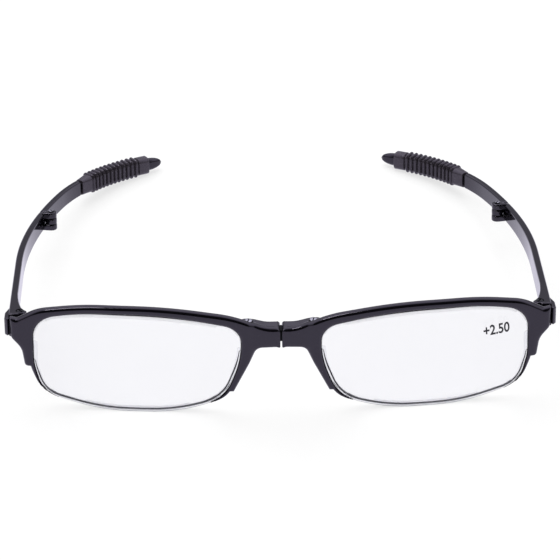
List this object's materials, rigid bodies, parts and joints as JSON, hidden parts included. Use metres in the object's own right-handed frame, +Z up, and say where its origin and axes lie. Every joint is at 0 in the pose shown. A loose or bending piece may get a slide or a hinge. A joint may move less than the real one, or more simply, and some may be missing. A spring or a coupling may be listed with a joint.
{
  "type": "folding reading glasses",
  "caption": "Half-rim reading glasses that fold at the bridge, at the temple hinges and in the middle of each temple, with ribbed rubber grips on the tips.",
  "frame": {"origin": "on the table under the middle of the box round the open glasses", "axes": "+X to the right in the front view, +Y from the lenses back to the temple tips, +Z up"},
  "size_m": [0.1312, 0.1116, 0.03],
  "materials": {
    "frame_plastic": "polished black injection moulding",
    "lens": "clear polished resin",
    "cord": "drawn nylon line",
    "steel": "black oxide",
    "rubber": "satin dark rubber"
  },
  "bodies": {
    "bridge": {"bridge_link": "steel"},
    "left_front": {"left_front_frame": "frame_plastic", "left_lens": "lens", "left_lens_cord": "cord", "left_bridge_screw": "steel"},
    "left_temple": {"left_temple_front": "frame_plastic", "left_hinge_screw": "steel", "left_fold_hinge_front_leaf": "steel", "left_fold_screw": "steel"},
    "left_tip": {"left_temple_rear": "frame_plastic", "left_fold_hinge_rear_leaf": "steel", "left_grip_sleeve": "rubber"},
    "right_front": {"right_front_frame": "frame_plastic", "right_lens": "lens", "right_lens_cord": "cord", "right_bridge_screw": "steel"},
    "right_temple": {"right_temple_front": "frame_plastic", "right_hinge_screw": "steel", "right_fold_hinge_front_leaf": "steel", "right_fold_screw": "steel"},
    "right_tip": {"right_temple_rear": "frame_plastic", "right_fold_hinge_rear_leaf": "steel", "right_grip_sleeve": "rubber"}
  },
  "joints": [
    {"name": "left_bridge_fold", "type": "hinge", "parent": "bridge", "child": "left_front", "pos_m": [-0.0077, -0.05306, 0.0211], "axis": [0, 0, 1], "range_deg": [-25, 0]},
    {"name": "left_temple_fold", "type": "hinge", "parent": "left_front", "child": "left_temple", "pos_m": [-0.0619, -0.0463, 0.0214], "axis": [0, 0.1886, 0.9821], "range_deg": [-70, 0]},
    {"name": "left_tip_fold", "type": "hinge", "parent": "left_temple", "child": "left_tip", "pos_m": [-0.0572, 0.01582, 0.00947], "axis": [0, 0.1886, 0.9821], "range_deg": [-145, 0]},
    {"name": "right_bridge_fold", "type": "hinge", "parent": "bridge", "child": "right_front", "pos_m": [0.0077, -0.05306, 0.0211], "axis": [0, 0, 1], "range_deg": [0, 25]},
    {"name": "right_temple_fold", "type": "hinge", "parent": "right_front", "child": "right_temple", "pos_m": [0.0619, -0.0463, 0.0214], "axis": [0, 0.1886, 0.9821], "range_deg": [0, 70]},
    {"name": "right_tip_fold", "type": "hinge", "parent": "right_temple", "child": "right_tip", "pos_m": [0.0572, 0.01582, 0.00947], "axis": [0, 0.1886, 0.9821], "range_deg": [0, 145]}
  ]
}
